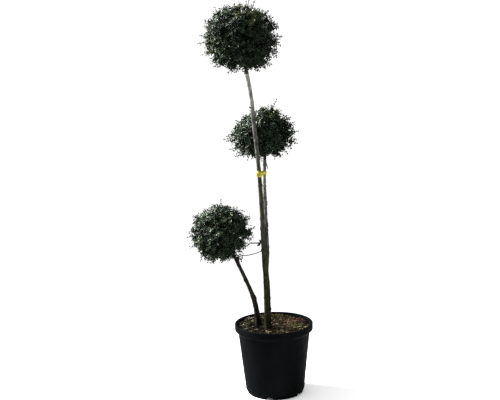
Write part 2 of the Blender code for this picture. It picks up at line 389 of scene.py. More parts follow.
def bark_material(name, low, high, stops):
    """Bark whose colour changes with height, with blotches, pale pores and a fine grain."""
    mat, tree, shader = new_material(name, 0.90, 0.01)
    tall = where(tree, (1, 1, 0.22))
    # The colour by height follows the caller's stops; on the stems these hold painted shade at the feet and under
    # the balls, besides the bark's own tones.
    base = ramp(tree, height_value(tree, low, high), stops)
    blotch = grey_ramp(tree, noise_value(tree, where(tree, (1, 1, 0.5)), 75, 5, 0.6),
                       (0.36, 0.42), (0.64, 1.35))
    colour = blend(tree, 1.0, base, blotch, "MULTIPLY")
    grain = grey_ramp(tree, noise_value(tree, tall, 620, 5, 0.65), (0.34, 0.6), (0.66, 1.3))
    colour = blend(tree, 1.0, colour, grain, "MULTIPLY")
    pores = grey_ramp(tree, cell_value(tree, where(tree, (1, 1, 0.55)), 230), (0.10, 0.40), (0.24, 0.0))
    colour = blend(tree, pores, colour, (0.11, 0.10, 0.075))
    tree.links.new(colour, shader.inputs["Base Color"])
    bump(tree, shader, noise_value(tree, tall, 520, 6, 0.7), 0.55, 0.0006)
    return mat


def mottled(name, dark, light, scale, roughness, specular=0.03, depth=0.0003):
    """A rough natural surface in two colours."""
    mat, tree, shader = new_material(name, roughness, specular)
    spot = where(tree)
    colour = ramp(tree, noise_value(tree, spot, scale, 5, 0.6), ((0.35, dark), (0.65, light)))
    tree.links.new(colour, shader.inputs["Base Color"])
    bump(tree, shader, noise_value(tree, spot, scale * 4, 4, 0.6), 0.5, depth)
    return mat


def pot_material():
    """Matte black plastic with a fine moulded grain, a little dust, and dried splashes low down."""
    mat, tree, shader = new_material("pot plastic", 0.6, 0.008)
    spot = where(tree)
    dust = grey_ramp(tree, noise_value(tree, where(tree, (1, 1, 0.45)), 26, 6, 0.62),
                     (0.42, 0.0), (0.78, 0.5))
    colour = blend(tree, dust, (0.0010, 0.0013, 0.0015), (0.0024, 0.0027, 0.0026))
    low = grey_ramp(tree, height_value(tree, 0.0, 0.07), (0.0, 0.55), (1.0, 0.0))
    splash = grey_ramp(tree, noise_value(tree, spot, 190, 4, 0.6), (0.55, 0.0), (0.68, 1.0))
    colour = blend(tree, blend(tree, 1.0, low, splash, "MULTIPLY"), colour, (0.0065, 0.0058, 0.0048))
    tree.links.new(colour, shader.inputs["Base Color"])
    shine = grey_ramp(tree, noise_value(tree, spot, 38, 4, 0.6), (0.3, 0.58), (0.7, 0.76))
    tree.links.new(shine, shader.inputs["Roughness"])
    bump(tree, shader, noise_value(tree, spot, 900, 3, 0.6), 0.22, 0.0002)
    return mat


# Camera and studio

def make_camera():
    forward = Vector((0, cos(CAMERA_PITCH), -sin(CAMERA_PITCH)))
    level = Vector((1, 0, 0))
    rise = level.cross(forward)
    right = cos(CAMERA_ROLL) * level + sin(CAMERA_ROLL) * rise
    top = cos(CAMERA_ROLL) * rise - sin(CAMERA_ROLL) * level
    data = bpy.data.cameras.new("camera")
    data.lens = CAMERA_LENS
    data.sensor_width = SENSOR_WIDTH
    data.clip_end = 100.0
    camera = bpy.data.objects.new("camera", data)
    camera.matrix_world = Matrix.Translation(CAMERA_PLACE) @ Matrix(
        (right, top, -forward)).transposed().to_4x4()
    bpy.context.scene.collection.objects.link(camera)
    bpy.context.scene.camera = camera


def make_studio():
    """A wide pale floor under an even sky, and one soft light from the upper left."""
    half = FLOOR_SIZE / 2
    heap = Heap()
    corners = ((-half, -half), (half, -half), (half, half), (-half, half))
    heap.add([(x, y, -FLOOR_DROP) for x, y in corners], [(0, 1, 2, 3)])
    pale = new_material("studio floor", 0.9, 0.0, FLOOR_COLOUR)[0]
    heap.build("studio_floor", [pale], smooth=False)

    world = bpy.data.worlds.new("even sky")
    world.use_nodes = True
    background = world.node_tree.nodes["Background"]
    background.inputs["Color"].default_value = (1.0, 1.0, 1.0, 1.0)
    background.inputs["Strength"].default_value = SKY_STRENGTH
    bpy.context.scene.world = world

    key = bpy.data.lights.new("key light", "AREA")
    key.energy = KEY_POWER
    key.size = KEY_SIZE
    key.spread = KEY_SPREAD
    lamp = bpy.data.objects.new("key light", key)
    lamp.location = KEY_PLACE
    lamp.rotation_euler = (KEY_TARGET - KEY_PLACE).to_track_quat("-Z", "Y").to_euler()
    bpy.context.scene.collection.objects.link(lamp)
    bpy.context.scene.view_settings.view_transform = "Standard"


# Reading the frame

class Solid:
    """One node of the frame, which can be cut level for its outline."""

    def __init__(self, node):
        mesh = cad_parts[node].data
        points = np.array([vert.co for vert in mesh.vertices])
        edges = np.array([edge.vertices for edge in mesh.edges])
        self.low, self.high = points[:, 2].min(), points[:, 2].max()
        self.starts = points[edges[:, 0]]
        self.ends = points[edges[:, 1]]

    def section(self, height):
        """The centre and mean radius of the outline at a height, as a row of x, y, z, radius."""
        rise = self.ends[:, 2] - self.starts[:, 2]
        crossing = (self.starts[:, 2] - height) * (self.ends[:, 2] - height) < 0
        share = ((height - self.starts[crossing, 2]) / rise[crossing])[:, None]
        ring = (self.starts[crossing] * (1 - share) + self.ends[crossing] * share)[:, :2]
        middle = ring.mean(axis=0)
        ring = ring[np.argsort(np.arctan2(*(ring - middle).T[::-1]))]
        after = np.roll(ring, -1, axis=0)
        wedge = (ring[:, 0] * after[:, 1] - after[:, 0] * ring[:, 1]) / 2
        centre = ((ring + after) * wedge[:, None]).sum(axis=0) / 3 / wedge.sum()
        return (*centre, height, sqrt(wedge.sum() / pi))


def limb_rows(node, low=None, high=None):
    """Rows of x, y, z and radius up the middle of a stem."""
    solid = Solid(node)
    low = solid.low + 0.0006 if low is None else low
    high = solid.high - 0.012 if high is None else high
    count = max(3, round((high - low) / SLICE_STEP))
    rows = np.array([solid.section(height) for height in np.linspace(low, high, count)])
    along = np.gradient(rows[:, :3], axis=0)
    upright = np.abs(along[:, 2]) / np.linalg.norm(along, axis=1)
    rows[:, 3] *= np.sqrt(upright)
    return rows


def row_at(rows, height):
    """The row of a stem at a height."""
    return np.array([np.interp(height, rows[:, 2], rows[:, axis]) for axis in range(4)])


class Envelope:
    """The outer shape of one ball, read from its node."""

    def __init__(self, node):
        low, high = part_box(node)
        self.centre = (low + high) / 2
        self.size = high - low
        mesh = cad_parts[node].data
        self.tree = BVHTree.FromPolygons([vert.co for vert in mesh.vertices],
                                         [face.vertices for face in mesh.polygons])

    def reach(self, direction):
        distance = self.tree.ray_cast(self.centre, direction)[3]
        return distance if distance else self.size.x / 2


# Bark

def stretched_noise(point, size, stretch):
    return noise.noise(Vector((point.x / size, point.y / size, point.z / size / stretch)))


def bark_piece(name, rows, knots, lobes, mat, stubs=()):
    """A limb with ridged bark, opposite leaf scars at its nodes, knots and pruned stubs."""
    length = float(np.linalg.norm(np.diff(rows[:, :3], axis=0), axis=1).sum())
    path = spline(rows, round(length / RING_STEP))
    side, over = (axes[0] for axes in tube_axes(path[None]))
    foot = path[0, 2]
    points = np.empty((len(path), BARK_SIDES, 3))
    for i, row in enumerate(path):
        centre = Vector(row[:3])
        across, past = Vector(side[i]), Vector(over[i])
        node_number = round((row[2] - foot) / NODE_SPACING)
        from_node = (row[2] - foot - node_number * NODE_SPACING) / 0.004
        swell = NODE_SWELL * exp(-from_node ** 2)
        flare = 0.0028 * exp(-(row[2] - foot) / 0.010) if lobes else 0.0
        for k in range(BARK_SIDES):
            angle = tau * k / BARK_SIDES
            out = cos(angle) * across + sin(angle) * past
            spot = centre + out * row[3]
            radius = row[3] * (1 + 0.035 * stretched_noise(spot, 0.016, 2.5))
            ridge = 1 - 2 * abs(stretched_noise(spot, RIDGE_SIZE, RIDGE_STRETCH))
            radius += RIDGE_DEPTH * ridge + GRAIN_DEPTH * stretched_noise(spot, GRAIN_SIZE, 3.0)
            scar = cos(2 * (angle - node_number * 1.4))
            radius += swell * (1 + 1.6 * max(0.0, scar) ** 4)
            radius += flare * (0.4 + cos(lobes * angle + 0.6))
            for height, bearing, size in knots:
                along_z = (row[2] - height) / (1.5 * size)
                round_it = row[3] * (1 - cos(angle - bearing)) / (0.5 * size)
                if abs(along_z) < 2.5:
                    radius += 0.62 * size * exp(-along_z ** 2 - round_it)
            points[i, k] = centre + out * radius
    heap = Heap()
    heap.add(points, *tube_faces(1, len(path), BARK_SIDES))
    for height, bearing, size in stubs:
        row = row_at(rows, height)
        out = Vector((cos(bearing), sin(bearing), 0.75)).normalized()
        start = Vector(row[:3])
        end = start + out * (row[3] + size)
        stub = arc_rows(start, (start + end) / 2 - UP * size * 0.2, end, size * 0.42, size * 0.26, 7)
        add_tubes(heap, [stub], 9)
    return heap.build(name, [mat])


def build_root_crown(mat, trunk, low):
    """The woody hump that joins the feet of the trunk and the low stem at the soil."""
    first, second = Vector(trunk[0][:3]), Vector(low[0][:3])
    middle = (first + second) / 2 - UP * 0.004
    between = second - first
    bm = bmesh.new()
    bmesh.ops.create_icosphere(bm, subdivisions=5, radius=1.0)
    heading = between.normalized()
    across = UP.cross(heading)
    for vert in bm.verts:
        unit = vert.co.copy()
        waist = 0.62 + 0.38 * unit.x ** 2
        spot = (middle + heading * unit.x * (between.length / 2 + 0.015)
                + across * unit.y * 0.0215 * waist + UP * unit.z * 0.017 * waist)
        lump = 0.004 * noise.noise(spot / 0.011) + 0.0018 * noise.noise(spot / 0.0045)
        grain = 0.0007 * (1 - 2 * abs(noise.noise(spot / 0.0022)))
        vert.co = spot + (spot - middle).normalized() * (lump + grain)
    mesh = bpy.data.meshes.new("root_crown")
    bm.to_mesh(mesh)
    bm.free()
    mesh.shade_smooth()
    mesh.materials.append(mat)
    obj = bpy.data.objects.new("root_crown", mesh)
    bpy.context.scene.collection.objects.link(obj)
    return obj


def build_stems():
    """Bark on the three stems. Returns the rows of each, for what grows on them."""
    trunk = limb_rows("trunk")
    low = limb_rows("low_stem")
    middle = limb_rows("middle_stem", low=FORK_CLEAR)
    for rows, least in ((trunk, TRUNK_LEAST_RADIUS), (middle, MIDDLE_LEAST_RADIUS)):
        rows[:, 3] = np.maximum(rows[:, 3], least)
    fork = row_at(trunk, FORK_HEIGHT)
    fork[3] = middle[0, 3] * 0.8
    lean = (fork * 0.45 + middle[0] * 0.55)
    middle = np.vstack((fork, lean, middle))

    # The trunk darkens from light grey bark at the top to an olive foot: partly the bark's own tone, partly painted
    # shade where the middle ball shades it and at the foot between the stems.
    trunk_bark = bark_material("trunk bark", 0.25, 1.15, (
        (0.0, (0.0068, 0.0070, 0.0038)), (0.30, (0.0180, 0.0186, 0.0102)), (0.60, (0.0260, 0.0252, 0.0170)),
        (0.66, (0.038, 0.038, 0.033)), (0.84, (0.058, 0.058, 0.053)), (0.90, (0.132, 0.132, 0.125)),
        (1.0, (0.165, 0.164, 0.156))))
    # Darker towards the fork, and darkest at the top, where the colour is painted shade under the middle ball.
    middle_bark = bark_material("middle stem bark", 0.43, 0.90, (
        (0.0, (0.013, 0.0125, 0.0085)), (0.45, (0.046, 0.045, 0.038)), (0.80, (0.068, 0.067, 0.061)),
        (1.0, (0.030, 0.030, 0.027))))
    # Near black at the foot: partly the low stem's own dark bark, partly painted shade among the stems' feet.
    low_bark = bark_material("low stem bark", 0.25, 0.55, (
        (0.0, (0.0045, 0.0042, 0.0030)), (0.25, (0.0100, 0.0090, 0.0072)), (1.0, (0.0135, 0.0115, 0.0092))))

    left, right, front = pi, 0.0, -pi / 2
    trunk_knots = ((1.030, radians(-110), 0.0048), (0.611, left, 0.0036), (0.540, right, 0.0040),
                   (0.478, right, 0.0036), (0.318, radians(-15), 0.0048), (0.742, front, 0.0030),
                   (0.925, radians(-60), 0.0028))
    trunk_stubs = ((1.034, radians(200), 0.0085), (1.022, radians(165), 0.0075),
                   (0.611, radians(190), 0.0050), (0.328, radians(-20), 0.0046))
    middle_knots = ((0.696, right, 0.0034), (0.620, right, 0.0034), (0.760, radians(-40), 0.0026))
    middle_stubs = ((0.699, radians(-10), 0.0050), (0.622, radians(8), 0.0042))
    low_knots = ((0.352, radians(-10), 0.0042), (0.420, radians(170), 0.0028))
    trunk_rows = sunk(trunk)
    low_rows = sunk(low)
    place(bark_piece("trunk_bark", trunk_rows, trunk_knots, 4, trunk_bark, trunk_stubs), "bark", "trunk")
    place(bark_piece("middle_stem_bark", middle, middle_knots, 0, middle_bark, middle_stubs),
          "bark", "middle_stem")
    place(bark_piece("low_stem_bark", low_rows, low_knots, 3, low_bark), "bark", "low_stem")
    # The root crown wears the low stem's darkest colour, which is painted shade at the foot in part.
    place(build_root_crown(low_bark, trunk, low), "bark")
    return trunk, middle, low


def sunk(rows):
    """Run a stem's foot a little way into the soil, so that no gap shows round it."""
    foot = rows[0].copy()
    foot[2] -= SOIL_SINK
    return np.vstack((foot, rows))


# Pot

def rounded(profile, radius, steps):
    """A profile of (radius, height) whose inner corners are rounded."""
    smooth = [Vector(profile[0])]
    for before, corner, after in zip(profile, profile[1:], profile[2:]):
        corner = Vector(corner)
        back, ahead = Vector(before) - corner, Vector(after) - corner
        reach = min(radius, back.length * 0.45, ahead.length * 0.45)
        start = corner + back.normalized() * reach
        end = corner + ahead.normalized() * reach
        for k in range(steps + 1):
            t = k / steps
            smooth.append(start * (1 - t) ** 2 + corner * 2 * t * (1 - t) + end * t ** 2)
    smooth.append(Vector(profile[-1]))
    return smooth


def turned_mesh(profile, segments):
    """Turn a profile round the Z axis. Its first and last points lie on the axis."""
    bm = bmesh.new()
    rings = []
    for radius, height in profile[1:-1]:
        ring = []
        for k in range(segments):
            angle = tau * k / segments
            ring.append(bm.verts.new((radius * cos(angle), radius * sin(angle), height)))
        rings.append(ring)
    first = bm.verts.new((0, 0, profile[0][1]))
    last = bm.verts.new((0, 0, profile[-1][1]))
    for k in range(segments):
        n = (k + 1) % segments
        bm.faces.new((first, rings[0][n], rings[0][k]))
        bm.faces.new((last, rings[-1][k], rings[-1][n]))
        for lower, upper in zip(rings, rings[1:]):
            bm.faces.new((lower[k], lower[n], upper[n], upper[k]))
    return bm


def add_bmesh(name, bm, mat, crease=radians(40)):
    """Turn a bmesh into an object with its faces outward and its rounds smooth."""
    bmesh.ops.recalc_face_normals(bm, faces=bm.faces)
    mesh = bpy.data.meshes.new(name)
    bm.to_mesh(mesh)
    bm.free()
    mesh.shade_smooth()
    mesh.set_sharp_from_angle(angle=crease)
    mesh.materials.append(mat)
    obj = bpy.data.objects.new(name, mesh)
    bpy.context.scene.collection.objects.link(obj)
    return obj


def inner_radius(height):
    """The pot's inside wall, which runs with the outside one."""
    outside = np.interp(height, (FOOT_BEVEL_HEIGHT, RIM_SLOPE_LOW, RIM_BAND_LOW),
                        (FOOT_RADIUS + FOOT_BEVEL, BODY_TOP_RADIUS, RIM_RADIUS - RIM_THICKNESS + WALL))
    return float(outside) - WALL


def notch_cutter(mat):
    """One bar through the foot for each drain notch, all in one mesh."""
    bm = bmesh.new()
    inner = FOOT_RADIUS - NOTCH_DEPTH
    length = RIM_RADIUS - inner
    for number in range(NOTCH_COUNT):
        angle = FIRST_NOTCH_ANGLE + tau * number / NOTCH_COUNT
        box = bmesh.ops.create_cube(bm, size=1.0)["verts"]
        bmesh.ops.scale(bm, vec=(length, NOTCH_WIDTH, NOTCH_HEIGHT * 2), verts=box)
        bmesh.ops.translate(bm, vec=(inner + length / 2, 0, 0), verts=box)
        bmesh.ops.rotate(bm, cent=(0, 0, 0), matrix=Matrix.Rotation(angle, 3, "Z"), verts=box)
    return add_bmesh("notch cutter", bm, mat)


def build_pot():
    """The tub, with rounded edges and lip, a sloped step under the rim band, and notches."""
    lip_inside = RIM_RADIUS - RIM_THICKNESS
    outside = [
        (0, 0.0010), (FOOT_RADIUS - NOTCH_DEPTH - 0.006, 0.0010), (FOOT_RADIUS - NOTCH_DEPTH - 0.004, 0),
        (FOOT_RADIUS, 0), (FOOT_RADIUS + FOOT_BEVEL, FOOT_BEVEL_HEIGHT),
        (BODY_TOP_RADIUS, RIM_SLOPE_LOW), (RIM_RADIUS, RIM_BAND_LOW),
        (RIM_RADIUS, POT_HEIGHT), (lip_inside, POT_HEIGHT),
        (inner_radius(RIM_BAND_LOW), RIM_BAND_LOW), (inner_radius(RIM_SLOPE_LOW), RIM_SLOPE_LOW),
        (inner_radius(FOOT_BEVEL_HEIGHT), FOOT_BEVEL_HEIGHT),
        (FOOT_RADIUS - WALL, FLOOR_THICKNESS), (0, FLOOR_THICKNESS)]
    profile = []
    for before, point in zip(outside, outside[1:]):
        profile.append(before)
        if abs(point[1] - before[1]) > 0.15:
            profile += [tuple(Vector(before).lerp(Vector(point), k / 12)) for k in range(1, 12)]
    profile.append(outside[-1])
    mat = pot_material()
    pot = add_bmesh("nursery_pot", turned_mesh(rounded(profile, EDGE_ROUND, 4), POT_SEGMENTS), mat)
    cutter = notch_cutter(mat)
    modifier = pot.modifiers.new("notches", "BOOLEAN")
    modifier.operation = "DIFFERENCE"
    modifier.solver = "EXACT"
    modifier.object = cutter
    bpy.context.view_layer.update()
    mesh = bpy.data.meshes.new_from_object(pot.evaluated_get(bpy.context.evaluated_depsgraph_get()))
    pot.modifiers.remove(modifier)
    pot.data = mesh
    mesh.shade_smooth()
    mesh.set_sharp_from_angle(angle=radians(40))
    bpy.data.objects.remove(cutter)
    place(pot, "pot_plastic", "pot")


# Soil

def smooth_step(value):
    value = min(1.0, max(0.0, value))
    return value * value * (3 - 2 * value)


def soil_height(x, y, feet):
    """Rolling soil, level near the stems' feet, with crumbly relief on top."""
    flatness = 1.0
    nearest_foot = 1.0
    for foot in feet:
        distance = hypot(x - foot[0], y - foot[1])
        nearest_foot = min(nearest_foot, distance)
        flatness = min(flatness, max(0.0, (distance - 0.045) / 0.030))
    spot = Vector((x, y, 0))
    relief = (noise.noise(spot / SOIL_RELIEF_SIZE) - 0.25) * flatness
    fine = 0.0016 * noise.noise(spot / 0.0085) + 0.0008 * noise.noise(spot / 0.0034)
    fine += BACK_RISE * smooth_step((y - 0.045) / 0.060) * smooth_step((0.080 - x) / 0.060)
    heap_up = 0.0022 * exp(-(nearest_foot / 0.022) ** 2)
    return SOIL_LEVEL + SOIL_RELIEF * relief + fine + heap_up


def soil_bodies(materials, feet, rng):
    """The root ball with its uneven top, stepped in above the drain notches."""
    notch_top = NOTCH_HEIGHT + 0.0015
    core = FOOT_RADIUS - NOTCH_DEPTH - 0.002
    profile = [(0, FLOOR_THICKNESS + SOIL_SEAM), (core, FLOOR_THICKNESS + SOIL_SEAM), (core, notch_top)]
    for height in (notch_top, FOOT_BEVEL_HEIGHT, RIM_SLOPE_LOW, RIM_BAND_LOW, 0.241):
        profile.append((inner_radius(max(height, FOOT_BEVEL_HEIGHT)) - SOIL_SEAM, height))
    profile[3] = (FOOT_RADIUS - WALL - SOIL_SEAM, notch_top)
    for ring in range(SOIL_RINGS, 0, -1):
        profile.append((SOIL_RADIUS * ring / SOIL_RINGS, SOIL_LEVEL))
    profile.append((0, SOIL_LEVEL))
    bm = turned_mesh(profile, SOIL_SEGMENTS)
    for vert in bm.verts:
        if vert.co.z > SOIL_LEVEL - 0.0001:
            vert.co.z = soil_height(vert.co.x, vert.co.y, feet)
    ground = add_bmesh("soil_ground", bm, materials[0], crease=pi)
    for mat in materials[1:]:
        ground.data.materials.append(mat)
    for face in ground.data.polygons:
        if face.center.z > SOIL_LEVEL - 0.004:
            face.material_index = soil_kind(face.center.x, face.center.y, rng, ("brown", "dark"))
    place(ground, "soil", "soil")


# Each patch of the soil's top has a place, a size and the kinds of bits that lie there
Patch = namedtuple("Patch", "x y radius kind share")
SOIL_KINDS = ("brown", "dark", "olive", "straw", "tan", "pink", "rust", "plum", "moss", "pale")
SOIL_PATCHES = (
    # The two dark patches by the stems' feet are dark soil, roots and moss, laid near black as painted shade under
    # the plant.
    Patch(-0.060, -0.008, 0.038, "dark", 1.0), Patch(-0.034, -0.032, 0.026, "dark", 0.85),
    Patch(-0.095, 0.035, 0.042, "olive", 0.75), Patch(0.062, 0.042, 0.030, "pink", 0.80),
    Patch(0.094, 0.054, 0.020, "rust", 0.85), Patch(0.114, 0.030, 0.018, "plum", 0.85),
    Patch(0.083, -0.010, 0.030, "moss", 0.80), Patch(0.012, -0.020, 0.030, "tan", 0.65),
    Patch(0.004, 0.040, 0.032, "rust", 0.45), Patch(-0.105, 0.095, 0.024, "pale", 0.45),
    Patch(-0.118, 0.022, 0.014, "pale", 0.70), Patch(-0.010, 0.085, 0.050, "olive", 0.50),
    Patch(-0.045, 0.112, 0.016, "pale", 0.35), Patch(0.040, 0.105, 0.040, "moss", 0.35),
    Patch(0.040, -0.060, 0.040, "tan", 0.50), Patch(-0.060, -0.075, 0.040, "olive", 0.45))


def soil_kind(x, y, rng, usual=("brown", "brown", "dark", "tan", "dark")):
    """What lies at a place: the kind of a patch there, or plain potting mix."""
    for patch in SOIL_PATCHES:
        near = hypot(x - patch.x, y - patch.y) / patch.radius
        if rng.random() < patch.share * exp(-near ** 2):
            return SOIL_KINDS.index(patch.kind)
    return SOIL_KINDS.index(rng.choice(usual))


def soil_spot(rng, feet, edge=0.0, keep=0.012):
    """A random place on the soil, not inside a stem. edge draws it towards the pot's wall."""
    while True:
        out = (SOIL_RADIUS - 0.002) * max(rng.random() ** 0.5, edge * rng.random())
        turn = rng.uniform(0, tau)
        x, y = out * cos(turn), out * sin(turn)
        if all(hypot(x - foot[0], y - foot[1]) > keep for foot in feet):
            return x, y


def lump_shape():
    """The points and faces of a twenty-sided lump of unit size."""
    bm = bmesh.new()
    bmesh.ops.create_icosphere(bm, subdivisions=1, radius=1.0)
    points = np.array([vert.co for vert in bm.verts])
    faces = np.array([[vert.index for vert in face.verts] for face in bm.faces])
    bm.free()
    return points, faces


def add_lumps(heap, count, size, flatness, rng, feet, settle=0.25):
    """Scatter rough lumps over the soil, each turned and dented in its own way."""
    points, faces = lump_shape()
    for _ in range(count):
        x, y = soil_spot(rng, feet)
        scale = size[0] + (size[1] - size[0]) * rng.random() ** 2.5
        stretch = Vector((1.0, rng.uniform(0.55, 0.95), flatness * rng.uniform(0.7, 1.2))) * scale
        tilt = Matrix.Rotation(rng.uniform(0, tau), 3, "Z") @ Matrix.Rotation(rng.gauss(0, 0.35), 3, "X")
        dents = np.array([rng.uniform(0.72, 1.15) for _ in points])[:, None]
        lump = (points * dents * np.array(stretch)) @ np.array(tilt).T
        centre = (x, y, soil_height(x, y, feet) + stretch.z * settle)
        heap.add(lump + centre, faces, kind=soil_kind(x, y, rng))


def add_straws(heap, rng, feet):
    """Bent slivers of straw and wood fibre that lie about, many of them near the pot's wall."""
    for number in range(STRAWS):
        x, y = soil_spot(rng, feet, edge=0.9 if number % 3 == 0 else 0.0, keep=0.016)
        heading = rng.uniform(0, tau)
        length = rng.uniform(0.006, 0.018)
        way = Vector((cos(heading), sin(heading), rng.gauss(0.05, 0.12))) * length
        start = Vector((x, y, soil_height(x, y, feet) + 0.0009))
        end = start + way
        if hypot(end.x, end.y) > SOIL_RADIUS - 0.001:
            continue
        end.z = max(end.z, soil_height(end.x, end.y, feet) + 0.0004)
        bend = (start + end) / 2 + Vector((rng.gauss(0, 0.2), rng.gauss(0, 0.2), 0.16)) * length
        radius = rng.uniform(0.0005, 0.0011)
        kind = soil_kind(x, y, rng, ("straw", "tan", "pale", "straw"))
        add_tubes(heap, [arc_rows(start, bend, end, radius, radius * 0.6, 5)], 4, kind=kind)


def add_moss(heap, rng, feet):
    """Short upright blades of moss in the green patches."""
    green = [patch for patch in SOIL_PATCHES if patch.kind in ("moss", "olive")]
    for _ in range(MOSS_BLADES):
        patch = rng.choice(green)
        x = patch.x + rng.gauss(0, patch.radius * 0.45)
        y = patch.y + rng.gauss(0, patch.radius * 0.45)
        if hypot(x, y) > SOIL_RADIUS - 0.003:
            continue
        start = Vector((x, y, soil_height(x, y, feet)))
        lean = Vector((rng.gauss(0, 0.5), rng.gauss(0, 0.5), 1.0)).normalized()
        height = rng.uniform(0.002, 0.0048)
        end = start + lean * height
        kind = SOIL_KINDS.index(rng.choice((patch.kind, patch.kind, patch.kind, "straw")))
        add_tubes(heap, [arc_rows(start, start + UP * height * 0.6, end, 0.00055, 0.0002, 3)], 3, kind=kind)


def soil_materials():
    colours = {
        "brown": ((0.0012, 0.0007, 0.0003), (0.0085, 0.0052, 0.0018)),
        "dark": ((0.0006, 0.0005, 0.0003), (0.0021, 0.0016, 0.0011)),
        "olive": ((0.0030, 0.0032, 0.0012), (0.0125, 0.0125, 0.0052)),
        "straw": ((0.060, 0.050, 0.026), (0.165, 0.140, 0.080)),
        "tan": ((0.0080, 0.0054, 0.0028), (0.030, 0.0215, 0.0115)),
        "pink": ((0.022, 0.0125, 0.0072), (0.072, 0.045, 0.028)),
        "rust": ((0.0085, 0.0029, 0.0016), (0.032, 0.0112, 0.0068)),
        "plum": ((0.0026, 0.0016, 0.0025), (0.0090, 0.0052, 0.0080)),
        "moss": ((0.0066, 0.0072, 0.0014), (0.026, 0.026, 0.0060)),
        "pale": ((0.080, 0.077, 0.050), (0.190, 0.187, 0.140)),
    }
    return [mottled("soil " + kind, *colours[kind], scale=260, roughness=0.95, specular=0.02)
            for kind in SOIL_KINDS]


def build_soil(trunk, low):
    """The ground of the pot, then its crumbs, chips of bark, straw and moss."""
    feet = (trunk[0][:2], low[0][:2])
    rng = Random(5)
    materials = soil_materials()
    soil_bodies(materials, feet, rng)
    crumbs = Heap()
    add_lumps(crumbs, CRUMBS, (0.0010, 0.0042), 0.75, rng, feet)
    add_lumps(crumbs, CHIPS, (0.0030, 0.0075), 0.28, rng, feet, settle=0.6)
    place(crumbs.build("soil_crumbs", materials, smooth=False), "soil", "soil")
    litter = Heap()
    add_straws(litter, rng, feet)
    add_moss(litter, rng, feet)
    place(litter.build("soil_straw_and_moss", materials), "soil", "soil")


# Tie and string

def wrap_path(first, second, radii, height, tilt, count=TAPE_STEPS):
    """A taut level loop round two upright stems: its points, and the way out at each."""
    heading = np.arctan2(second[1] - first[1], second[0] - first[0])
    half = count // 2
    centres, outs = [], []
    for centre, radius, start in ((first, radii[0], pi / 2), (second, radii[1], -pi / 2)):
        for k in range(half):
            angle = heading + start + pi * k / (half - 1)
            out = np.array((cos(angle), sin(angle), 0.0))
            rise = tilt * cos(angle - heading)
            centres.append(np.array((*centre[:2], height + rise)) + out * radius)
            outs.append(out)
    return np.array(centres), np.array(outs)


def wavy(count, rng, amount):
    """A slow random wave that closes on itself, about one."""
    turn = np.arange(count) * tau / count
    wave = sum(rng.uniform(-1, 1) * np.sin(k * turn + rng.uniform(0, tau)) for k in (2, 3, 5, 7))
    return 1 + amount * wave


def add_wrap(heap, rng, first, second, grow, height, tilt, width=1.0, kind=0):
    radii = (first[3] + grow, second[3] + grow * 0.62)
    centres, outs = wrap_path(first, second, radii, height, tilt)
    wave = wavy(len(centres), rng, 0.05)
    ups = np.tile((0.0, 0.0, 1.0), (len(centres), 1)) + outs * (wave[:, None] - 1) * 3
    half_width = (TAPE_HALF_WIDTH * width * wavy(len(centres), rng, 0.07))[:, None, None]
    add_ribbon(heap, centres + outs * (wave[:, None] - 1) * 0.004, outs, ups, half_width,
               TAPE_HALF_THICKNESS, closed=True, kind=kind)


def add_knot(heap, rng, centre, size, kind=0):
    """A soft knot: small bands of tape that cross over each other round one point."""
    turns = np.arange(28) * tau / 28
    for axis in (Vector((0.2, -0.3, 1.0)), Vector((1.0, -0.5, 0.35)), Vector((-0.5, -1.0, 0.5)),
                 Vector((-0.9, 0.2, 0.8))):
        axis = axis.normalized()
        side = across(axis, rng.uniform(0, tau))
        other = axis.cross(side)
        outs = np.cos(turns)[:, None] * np.array(side) + np.sin(turns)[:, None] * np.array(other)
        radius = size * rng.uniform(0.85, 1.0) * wavy(28, rng, 0.05)[:, None]
        ups = np.tile(np.array(axis), (28, 1))
        add_ribbon(heap, np.array(centre) + outs * radius, outs, ups, TAPE_HALF_WIDTH * 0.72,
                   TAPE_HALF_THICKNESS, closed=True, kind=kind)


def add_tail(heap, start, bend, end, facing, half_width, kind=0):
    """A loose end of tape."""
    centres = np.array(arc_rows(Vector(start), Vector(bend), Vector(end), 0, 0, 14))[:, :3]
    along = np.gradient(centres, axis=0)
    along /= np.linalg.norm(along, axis=1, keepdims=True)
    ups = np.cross(along, np.array(facing))
    ups /= np.linalg.norm(ups, axis=1, keepdims=True)
    outs = np.cross(along, ups)
    add_ribbon(heap, centres, outs, ups, half_width, TAPE_HALF_THICKNESS, kind=kind)


def tape_material(name, dark, light):
    """Soft stretched tape with creases along it."""
    mat, tree, shader = new_material(name, 0.55, 0.12)
    spot = where(tree, (1, 1, 2.6))
    colour = ramp(tree, noise_value(tree, spot, 210, 5, 0.6), ((0.32, dark), (0.62, light)))
    tree.links.new(colour, shader.inputs["Base Color"])
    bump(tree, shader, noise_value(tree, spot, 640, 4, 0.6), 0.5, 0.0005)
    return mat


